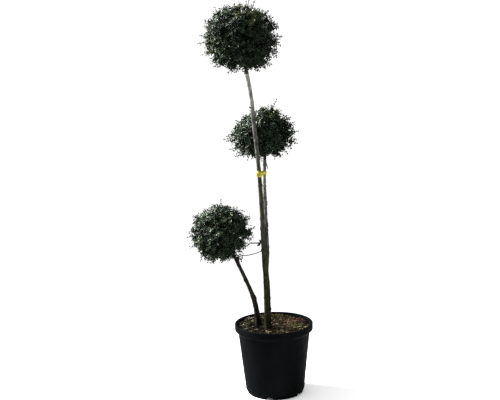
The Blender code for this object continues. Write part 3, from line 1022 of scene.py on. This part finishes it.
def build_tie(trunk, middle):
    """Yellow tape wound round the trunk and the middle stem, knotted at the left."""
    rng = Random(31)
    first, second = row_at(trunk, TIE_LEVEL), row_at(middle, TIE_LEVEL)
    heap = Heap()
    for grow, height, tilt in ((0.0009, 0.8050, -0.0030), (0.0016, 0.8095, -0.0052),
                               (0.0023, 0.8065, -0.0028), (0.0028, 0.8080, -0.0042)):
        add_wrap(heap, rng, first, second, grow, height, tilt)
    for grow, height, tilt in ((0.0016, 0.8120, 0.0008), (0.0020, 0.8018, -0.0010),
                               (0.0027, 0.8052, 0.0012)):
        turn = np.array((0.0006, -0.0003, 0, 0))
        add_wrap(heap, rng, first - turn, first + turn, grow, height, tilt, width=1.05)
    left = (first[0] - 0.0066, first[1] - 0.0052, TIE_LEVEL + 0.0005)
    add_knot(heap, rng, left, 0.0030)
    add_tail(heap, left, (left[0] + 0.002, left[1] - 0.0035, left[2] + 0.005),
             (left[0] + 0.0045, left[1] - 0.0030, left[2] + 0.0100), (0.2, -1, 0.2), 0.0024)
    add_tail(heap, left, (left[0] - 0.001, left[1] - 0.003, left[2] - 0.004),
             (left[0] + 0.0015, left[1] - 0.003, left[2] - 0.0085), (0.1, -1, 0.1), 0.0022)
    front = second[1] - second[3]
    add_tail(heap, (second[0] + 0.0004, front - 0.0026, 0.8020), (second[0] + 0.0010, front - 0.0034, 0.7920),
             (second[0] + 0.0012, front - 0.0020, 0.7800), (0.1, -1, 0), 0.0040, kind=1)
    yellow = tape_material("yellow tape", (0.15, 0.118, 0.009), (0.29, 0.238, 0.026))
    olive = tape_material("olive tape", (0.040, 0.055, 0.016), (0.10, 0.125, 0.045))
    place(heap.build("yellow_tie", [yellow, olive]), "tie_tape", "tie")


def add_twine(heap, path, reference=(0.0, 0.0, 1.0)):
    """Two plies twisted round each other along a path of points."""
    path = np.asarray(path, float)[:, :3]
    length = float(np.linalg.norm(np.diff(path, axis=0), axis=1).sum())
    path = spline(path, max(12, round(length / 0.0007)))
    reference = np.asarray(reference)
    side, over = (axes[0] for axes in tube_axes(path[None], reference))
    steps = np.linalg.norm(np.diff(path, axis=0), axis=1)
    turn = np.concatenate(([0.0], np.cumsum(steps))) / TWIST_PITCH * tau
    for phase in (0.0, pi):
        offset = np.cos(turn + phase)[:, None] * side + np.sin(turn + phase)[:, None] * over
        ply = np.column_stack((path + offset * PLY_OFFSET, np.full(len(path), PLY_RADIUS)))
        add_tubes(heap, [ply], 7, reference=reference)


def coil(row, height, turns, start, pitch, grow=STRING_RADIUS):
    """Points of a few turns of string round a stem."""
    count = round(turns * 22)
    points = []
    for k in range(count + 1):
        angle = start + tau * turns * k / count
        radius = row[3] + grow
        points.append((row[0] + radius * cos(angle), row[1] + radius * sin(angle),
                       height + pitch * turns * k / count))
    return points


def build_string(trunk, low):
    """Thin twine from the low stem to the trunk, wound round both and knotted near the low stem."""
    heap = Heap()
    add_twine(heap, STRING_WAY)
    start, end = Vector(STRING_WAY[0]), Vector(STRING_WAY[-1])
    trunk_row, low_row = row_at(trunk, end.z), row_at(low, start.z)
    add_twine(heap, coil(trunk_row, end.z - 0.0025, 2.3, radians(200), 0.0021))
    add_twine(heap, coil(low_row, start.z + 0.0035, 2.2, radians(-60), 0.0022))
    knot = Vector(STRING_WAY[1]) + Vector((-0.001, 0.0005, -0.001))
    ball = np.arange(15) / 14 * tau
    for tilt in (0.3, 1.3, 2.3):
        ring = [(knot.x + 0.0019 * cos(a) * cos(tilt), knot.y + 0.0019 * cos(a) * sin(tilt),
                 knot.z + 0.0020 * sin(a)) for a in ball]
        add_twine(heap, ring, reference=(-sin(tilt), cos(tilt), 0.0))
    down = [(knot.x, knot.y - 0.001, knot.z), (knot.x + 0.003, knot.y - 0.003, knot.z - 0.006),
            (knot.x + 0.0025, knot.y - 0.003, knot.z - 0.013), (knot.x + 0.005, knot.y - 0.002, knot.z - 0.019)]
    add_twine(heap, down, reference=(0.0, 1.0, 0.0))
    mat = mottled("grey twine", (0.006, 0.006, 0.0065), (0.026, 0.026, 0.025), scale=120, roughness=0.85)
    place(heap.build("grey_string", [mat]), "string", "string")


# Foliage

def even_directions(count, rng, jitter):
    """Directions spread evenly over a ball, each a little off its place."""
    turn = pi * (3 - sqrt(5))
    directions = []
    for k in range(count):
        rise = 1 - (2 * k + 1) / count
        ring = sqrt(1 - rise * rise)
        direction = Vector((ring * cos(turn * k), ring * sin(turn * k), rise))
        direction += Vector([rng.gauss(0, jitter) for _ in range(3)])
        directions.append(direction.normalized())
    return directions


def nearest(direction, others):
    """The number of the other direction that is nearest to this one."""
    return max(range(len(others)), key=lambda k: direction.dot(others[k]))


def across(direction, turn):
    """A direction square to the given one, turned about it."""
    reference = UP if abs(direction.z) < 0.9 else Vector((1, 0, 0))
    side = direction.cross(reference).normalized()
    return cos(turn) * side + sin(turn) * direction.cross(side)


def on_rows(rows, share):
    """A point and a heading at a share of the way along a path."""
    spot = share * (len(rows) - 1)
    i = min(int(spot), len(rows) - 2)
    start, end = Vector(rows[i][:3]), Vector(rows[i + 1][:3])
    return start.lerp(end, spot - i), (end - start).normalized()


class Leafage:
    """Leafy shoots, with the leaves gathered by tint."""

    def __init__(self, seed):
        self.rng = Random(seed)
        self.shoots = []
        self.leaves = {tint: [] for tint in TINTS}

    def allowed(self, point):
        return True

    def shake(self, amount):
        return Vector([self.rng.gauss(0, amount) for _ in range(3)])

    def leaf(self, point, out, face, size, tint, free=False):
        length = size * self.rng.uniform(0.80, 1.18)
        width = length * LEAF_WIDTH_SHARE * self.rng.uniform(0.85, 1.12)
        if free or (self.allowed(point) and self.allowed(point + out * length)):
            self.leaves[tint].append((*point, *out, *face, length, width,
                                      self.rng.uniform(0.20, 0.70), self.rng.uniform(0.0, 0.40)))

    def pair(self, point, along, turn, size, spread, tint, free=False):
        """Two opposite leaves that turn their upper faces to the tip and to the light."""
        axis = across(along, turn)
        for sign in (1, -1):
            angle = spread + self.rng.gauss(0, 0.16)
            out = along * cos(angle) + axis * sign * sin(angle)
            out = (out + self.shake(0.12)).normalized()
            face = along * sin(angle) - axis * sign * cos(angle) + UP * 0.5
            face = (face - out * face.dot(out)).normalized()
            self.leaf(point, out, face, size, tint, free)

    def spray(self, start, heading, tip, tint, radius=0.0008, forks=True, size=1.0):
        """One leafy shoot. Pairs of leaves alternate, and some nodes fork into side shoots."""
        length = (tip - start).length
        rows = arc_rows(start, start + heading * length * 0.5, tip, radius, radius * 0.5, SPRAY_RINGS)
        self.shoots.append(rows)
        turn = self.rng.uniform(0, pi)
        at = min(0.008, length * 0.3)
        while at < length * 0.97:
            share = at / length
            point, along = on_rows(rows, share)
            leaf_size = LEAF_LENGTH * size * (1.0 - 0.24 * share)
            self.pair(point, along, turn, leaf_size, 1.25 - 0.30 * share, tint)
            if forks and 0.15 < share < 0.75 and self.rng.random() < 0.50:
                self.side_shoots(point, along, turn, tint, size)
            turn += pi / 2 + self.rng.gauss(0, 0.12)
            at += LEAF_STEP * size * self.rng.uniform(0.85, 1.15) * (1.0 - 0.28 * share)
        point, along = on_rows(rows, 1.0)
        self.pair(point, along, turn, LEAF_LENGTH * size * 0.70, 0.60, tint)

    def side_shoots(self, point, along, turn, tint, size):
        axis = across(along, turn)
        for sign in (1, -1):
            if self.rng.random() < 0.25:
                continue
            heading = (along * 0.80 + axis * sign * 0.72).normalized()
            length = self.rng.uniform(0.009, 0.019)
            tip = point + (heading + along * 0.35).normalized() * length
            if self.allowed(tip):
                self.spray(point, heading, tip, tint, radius=0.0005, forks=False, size=size * 0.86)


class Foliage(Leafage):
    """Grows one ball: a leader, boughs, twigs and sprays, with the leaves on the sprays."""

    def __init__(self, plan, limb, trunk):
        super().__init__(plan.seed)
        self.plan = plan
        self.shape = Envelope(plan.node)
        self.limb = limb
        self.trunk = trunk
        self.leaders = []
        self.boughs = []
        self.twigs = []

    def reach(self, way):
        """How far the ball reaches in a direction, with its own bulges and hollows."""
        swell = 1.0
        for x, z, width, change in self.plan.swells:
            off = 1 - way.dot(Vector((x, 0, z)).normalized())
            swell += change * exp(-off / width)
        return self.shape.reach(way) * swell

    def share(self, point):
        """How far out a point is: 0 at the centre and 1 at the ball's outline."""
        offset = point - self.shape.centre
        return offset.length / self.reach(offset.normalized())

    def allowed(self, point):
        """Whether a point is in the ball, off the trunk and out of the gaps where the sky shows."""
        if self.share(point) > FURTHEST_SHARE:
            return False
        if self.plan.node == "middle_ball":
            x, y, _, radius = row_at(self.trunk, point.z)
            if hypot(point.x - x, point.y - y) < radius + TRUNK_CLEARANCE:
                return False
            if abs(point.x - x) < radius + 0.002 and point.y < y:
                return False
        for gap_x, gap_z, gap_radius in self.plan.gaps:
            sight = Vector((gap_x, self.shape.centre.y, gap_z)) - CAMERA_PLACE
            offset = point - CAMERA_PLACE
            uneven = 0.85 + 0.7 * noise.noise(point / 0.009)
            if offset.cross(sight.normalized()).length < gap_radius * uneven:
                return False
        return True

    def leaf(self, point, out, face, size, tint, free=False):
        """Drop some of the leaves near the outline, so that the sky shows between the others."""
        open_share = (self.share(point) - OPEN_FROM) / OPEN_SPAN
        upward = max(0.0, (point - self.shape.centre).normalized().z)
        part = OPEN_PART + OPEN_ABOVE * upward
        if free or self.rng.random() > part * min(1.0, open_share):
            super().leaf(point, out, face, size, tint, free)

    def tint_at(self, point):
        """The colour of a spray, dealt out by where it is. The inner ones are the darkest, which is painted shade,
        and the grey ones gather on the lit upper left as painted highlight.
        """
        for x, z, radius in self.plan.young:
            near = hypot(point.x - x, point.z - z) / radius
            if self.rng.random() < 0.62 * exp(-near ** 2):
                return "young"
        # Inner sprays mostly take the deep tint as painted shade.
        if self.share(point) < 0.80 and self.rng.random() < 0.8:
            return "deep"
        # Sprays on the lit upper left are more often grey, a painted highlight, or green; the rest are deep, a
        # painted shade.
        out = (point - self.shape.centre) / (self.shape.size.x / 2)
        lit = 0.5 - 0.38 * out.x + 0.30 * out.z + 0.20 * out.y
        chance = self.rng.random()
        if chance < 0.012:
            return "young"
        if chance < 0.03 + 0.30 * lit:
            return "grey"
        return "green" if chance < 0.36 + 0.44 * lit else "deep"

    def tip_share(self, way):
        """How far out a spray's tip is. Most sprays end well inside, so that the rim is open."""
        low, high = OUTER_SHARES if self.rng.random() < OUTER_PART else INNER_SHARES
        return self.rng.uniform(low, high) * (1 + 0.035 * noise.noise(way * 3.0))

    def grow(self):
        """Fork boughs from the leader, twigs from the boughs and sprays from the twigs."""
        shape, rng, plan = self.shape, self.rng, self.plan
        head = Vector(self.limb[-1][:3])
        heading = Vector(self.limb[-1][:3] - self.limb[-4][:3]).normalized()
        top = shape.centre + UP * shape.size.z * 0.30
        radius = self.limb[-1][3]
        leader = arc_rows(head - heading * 0.004, head + heading * shape.size.z * 0.35, top,
                          radius, radius * 0.42, 16)
        self.leaders.append(leader)

        bough_ways = even_directions(plan.boughs, rng, 0.10)
        for way in bough_ways:
            end = shape.centre + way * self.reach(way) * rng.uniform(0.36, 0.50)
            start_share = min(0.96, max(0.03, (end.z - head.z) / (top.z - head.z) * 0.75 - 0.08))
            start, along = on_rows(leader, start_share)
            bend = start.lerp(end, 0.45) + along * (end - start).length * 0.12
            self.boughs.append(arc_rows(start, bend, end, radius * 0.46, radius * 0.24, 8))

        twig_ways = even_directions(plan.twigs, rng, 0.06)
        for way in twig_ways:
            bough = self.boughs[nearest(way, bough_ways)]
            start, along = on_rows(bough, rng.uniform(0.45, 1.0))
            end = shape.centre + way * self.reach(way) * rng.uniform(0.56, 0.72)
            bend = start.lerp(end, 0.4) + along * (end - start).length * 0.18
            self.twigs.append(arc_rows(start, bend, end, 0.0015, 0.0010, 6))

        for way in even_directions(plan.sprays, rng, 0.05):
            twig = self.twigs[nearest(way + self.shake(0.22), twig_ways)]
            start, along = on_rows(twig, rng.uniform(0.30, 1.0))
            tip = shape.centre + way * self.reach(way) * self.tip_share(way)
            heading = (along + way * 0.5 + UP * 0.25 + self.shake(0.25)).normalized()
            if self.allowed(tip) and self.allowed(start.lerp(tip, 0.6)):
                self.spray(start, heading, tip, self.tint_at(tip))

        for x, z, *root in plan.strays:
            tip = Vector((x, shape.centre.y + rng.uniform(-0.02, 0.02), z))
            way = (tip - shape.centre).normalized()
            start = shape.centre + way * self.reach(way) * 0.80
            if root:
                start = Vector((root[0], tip.y, root[1]))
            self.stray(start, tip)

    def stray(self, start, tip):
        """A thin shoot that stands out of the clipped ball, with a few small leaves."""
        length = (tip - start).length
        bend = start.lerp(tip, 0.5) + UP * length * 0.03
        rows = arc_rows(start, bend, tip, STRAY_RADIUS, STRAY_RADIUS * 0.7, SPRAY_RINGS)
        self.shoots.append(rows)
        turn = self.rng.uniform(0, pi)
        at = 0.30
        while at < 1.0:
            point, along = on_rows(rows, at)
            self.pair(point, along, turn, LEAF_LENGTH * (1.0 - 0.25 * at), 0.95, "green", free=True)
            turn += pi / 2
            at += 0.0095 / length
        self.pair(tip, on_rows(rows, 1.0)[1], turn, LEAF_LENGTH * 0.65, 0.5, "green", free=True)

    def build(self, wood, leaf_materials):
        name = self.plan.node
        heap = Heap()
        add_tubes(heap, self.leaders, 12)
        add_tubes(heap, self.boughs, 7)
        add_tubes(heap, self.twigs, 5)
        add_tubes(heap, self.shoots, 3)
        place(heap.build(name + "_twigs", [wood]), "bark", name)
        for tint in TINTS:
            piece = leaf_piece("%s_leaves_%s" % (name, tint), self.leaves[tint], leaf_materials[tint])
            place(piece, "foliage", name)


def build_trunk_shoots(trunk, middle, low, wood, leaf_materials):
    """Small leafy shoots on the bare stems: one at the trunk's left, and a bare one higher up."""
    shoots = Leafage(47)
    row = row_at(trunk, 0.563)
    root = Vector((row[0] - row[3] * 0.75, row[1] - row[3] * 0.6, 0.563))
    tip = Vector((-0.0800, root.y + 0.012, 0.5600))
    shoots.shoots.append(arc_rows(root, root.lerp(tip, 0.5) - UP * 0.0008, tip, 0.0026, 0.0019, SPRAY_RINGS))
    for x, z, lean, rise, size in ((-0.0370, 0.5625, -0.60, 0.95, 1.55), (-0.0400, 0.5620, -0.85, -0.60, 1.55),
                                   (-0.0340, 0.5600, -0.45, -0.85, 1.25), (-0.0780, 0.5600, -1.0, -0.35, 0.8)):
        out = Vector((lean, -0.15, rise)).normalized()
        facing = Vector((0.15, -1.0, 0.45))
        face = (facing - out * facing.dot(out)).normalized()
        shoots.leaf(Vector((x, root.y - 0.002, z)), out, face, LEAF_LENGTH * size, "deep")
    loop = Vector(LOOP_PLACE)
    for step in range(LOOP_LEAVES):
        angle = tau * step / LOOP_LEAVES
        spoke = Vector((cos(angle), 0.25 * sin(3 * angle), sin(angle)))
        out = Vector((-sin(angle), 0.1, cos(angle))).normalized()
        face = Vector((0.1, -1.0, 0.2))
        face = (face - out * face.dot(out)).normalized()
        shoots.leaf(loop + spoke * LOOP_RADIUS, out, face, LEAF_LENGTH * 0.85, "deep")
    shoots.leaf(loop + Vector((0.002, 0, -0.0125)), Vector((0.5, 0, -0.87)), Vector((0, -1, 0)), LEAF_LENGTH * 0.6, "deep")
    low_row = row_at(low, loop.z - 0.006)
    start = Vector((low_row[0], low_row[1], low_row[2]))
    shoots.shoots.append(arc_rows(start, loop - UP * LOOP_RADIUS, loop + Vector((LOOP_RADIUS, 0, 0)),
                                  0.0016, 0.0009, SPRAY_RINGS))
    row = row_at(middle, 0.8420)
    start = Vector((row[0] + row[3] * 0.7, row[1] - row[3] * 0.5, 0.8420))
    tip = Vector((-0.0089, start.y - 0.004, 0.8185))
    shoots.shoots.append(arc_rows(start, Vector((-0.0117, start.y - 0.003, 0.8322)), tip,
                                  0.0019, 0.0012, SPRAY_RINGS))
    heap = Heap()
    add_tubes(heap, shoots.shoots, 6)
    place(heap.build("stem_shoots_twigs", [wood]), "bark")
    place(leaf_piece("stem_shoots_leaves", shoots.leaves["deep"], leaf_materials["deep"]), "foliage")


def leaf_shape():
    """One leaf of unit length and width: its points, its tip and side faces, and its quads."""
    points = [(0.0, 0.0)]
    for along, half in LEAF_STATIONS:
        points += [(along, -half), (along, 0.0), (along, half)]
    points.append((1.0, 0.0))
    tip = len(points) - 1
    triangles = [(0, 1, 2), (0, 2, 3), (tip - 3, tip, tip - 2), (tip - 2, tip, tip - 1)]
    quads = []
    for station in range(len(LEAF_STATIONS) - 1):
        right = 1 + 3 * station
        quads += [(right, right + 3, right + 4, right + 1), (right + 1, right + 4, right + 5, right + 2)]
    return np.array(points), np.array(triangles), np.array(quads)


def leaf_piece(name, leaves, mat):
    """Join many leaves. Each is folded along its midrib and curls down towards its tip."""
    outline, triangles, quads = leaf_shape()
    table = np.array(leaves)
    base, along, face = table[:, None, 0:3], table[:, None, 3:6], table[:, None, 6:9]
    length, width, fold, curl = (table[:, k][:, None, None] for k in range(9, 13))
    beside = np.cross(face, along)
    x, y = outline[None, :, :1], outline[None, :, 1:]
    rise = np.abs(y) * width * fold - x ** 2 * length * curl
    points = base + along * x * length + beside * y * width + face * rise
    offset = (np.arange(len(table)) * len(outline))[:, None, None]
    heap = Heap()
    heap.add(points, (triangles + offset).reshape(-1, 3), (quads + offset).reshape(-1, 4))
    return heap.build(name, [mat])


TOP_BALL = Ball(
    "top_ball", boughs=26, twigs=150, sprays=860, seed=11,
    swells=((-1.0, 0.0, 0.30, 0.03), (0.0, -1.0, 0.30, 0.035), (0.0, 1.0, 0.10, -0.03)),
    gaps=((-0.1036, 1.1837, 0.0060), (-0.0878, 1.3705, 0.0050), (-0.0039, 1.3228, 0.0055),
          (0.0180, 1.2472, 0.0050), (-0.0075, 1.2076, 0.0040), (-0.1497, 1.3576, 0.0040),
          (-0.1299, 1.3628, 0.0035)),
    young=((-0.050, 1.368, 0.032), (-0.078, 1.384, 0.020), (-0.022, 1.352, 0.022),
           (-0.204, 1.251, 0.018), (-0.205, 1.222, 0.014)),
    strays=((-0.0616, 1.4020), (-0.0422, 1.4000), (-0.0705, 1.3970), (-0.1429, 1.3873),
            (-0.1991, 1.3384), (-0.2271, 1.2886), (-0.2366, 1.2654), (0.0460, 1.2797),
            (0.0338, 1.3092), (0.0150, 1.3447), (0.0048, 1.3662)))
MIDDLE_BALL = Ball(
    "middle_ball", boughs=20, twigs=110, sprays=600, seed=23,
    swells=((-0.93, -0.36, 0.10, 0.14), (-0.72, 0.69, 0.10, -0.10), (0.85, -0.53, 0.08, 0.09),
            (0.45, -0.89, 0.06, 0.06), (-0.50, -0.87, 0.05, 0.05)),
    gaps=((0.0732, 0.9437, 0.0045), (0.0708, 0.9131, 0.0050), (0.0427, 0.9893, 0.0035),
          (0.0556, 0.9862, 0.0035), (-0.0426, 1.0054, 0.0050)),
    young=((0.005, 1.012, 0.016),),
    strays=((0.0270, 1.0480, 0.0100, 1.0120), (0.0646, 0.9984), (0.0985, 0.9382), (-0.1585, 0.9150),
            (-0.1142, 0.9827), (-0.0283, 0.8386), (-0.0792, 0.8408)))
LOWER_BALL = Ball(
    "lower_ball", boughs=22, twigs=120, sprays=700, seed=37,
    swells=((-0.45, -0.89, 0.20, 0.055), (-1.0, 0.2, 0.20, 0.015), (1.0, -0.15, 0.12, 0.035),
            (0.1, -1.0, 0.08, 0.03), (0.86, 0.50, 0.06, 0.05)),
    gaps=((-0.2335, 0.6225, 0.0040), (-0.1699, 0.6631, 0.0040), (-0.1117, 0.5740, 0.0058),
          (-0.1030, 0.5956, 0.0052), (-0.1010, 0.5800, 0.0045), (-0.1252, 0.5304, 0.0050), (-0.1248, 0.5183, 0.0050),
          (-0.2449, 0.6733, 0.0055), (-0.2406, 0.6555, 0.0040), (-0.0860, 0.6103, 0.0055)),
    young=(),
    strays=((-0.1769, 0.7058), (-0.2742, 0.6606), (-0.2973, 0.5838), (-0.0671, 0.6115),
            (-0.2132, 0.4849), (-0.1106, 0.4899), (-0.1040, 0.5160), (-0.1200, 0.4960)))


def build_foliage(trunk, middle, low):
    wood = bark_material("twig bark", 0.5, 1.4, (
        (0.0, (0.012, 0.011, 0.008)), (1.0, (0.028, 0.026, 0.020))))
    # Leaf tints: deep is the darkest green, also used as painted shade in the balls' cores; grey is a pale painted
    # highlight for sprays on the lit rim.
    colours = {
        "deep": ((0.0056, 0.0108, 0.0054), 0.52, 0.07),
        "green": ((0.0088, 0.0172, 0.0066), 0.48, 0.10),
        "grey": ((0.0275, 0.0440, 0.0220), 0.46, 0.16),
        "young": ((0.0330, 0.0410, 0.0130), 0.46, 0.14),
    }
    leaf_materials = {}
    for tint, (colour, roughness, specular) in colours.items():
        leaf_materials[tint] = new_material("privet leaf " + tint, roughness, specular, colour)[0]
    for plan, limb in ((TOP_BALL, trunk), (MIDDLE_BALL, middle), (LOWER_BALL, low)):
        foliage = Foliage(plan, limb, trunk)
        foliage.grow()
        foliage.build(wood, leaf_materials)
    build_trunk_shoots(trunk, middle, low, wood, leaf_materials)


# The script proper

make_camera()
make_studio()
trunk_rows, middle_rows, low_rows = build_stems()
build_foliage(trunk_rows, middle_rows, low_rows)
build_pot()
build_soil(trunk_rows, low_rows)
build_tie(trunk_rows, middle_rows)
build_string(trunk_rows, low_rows)
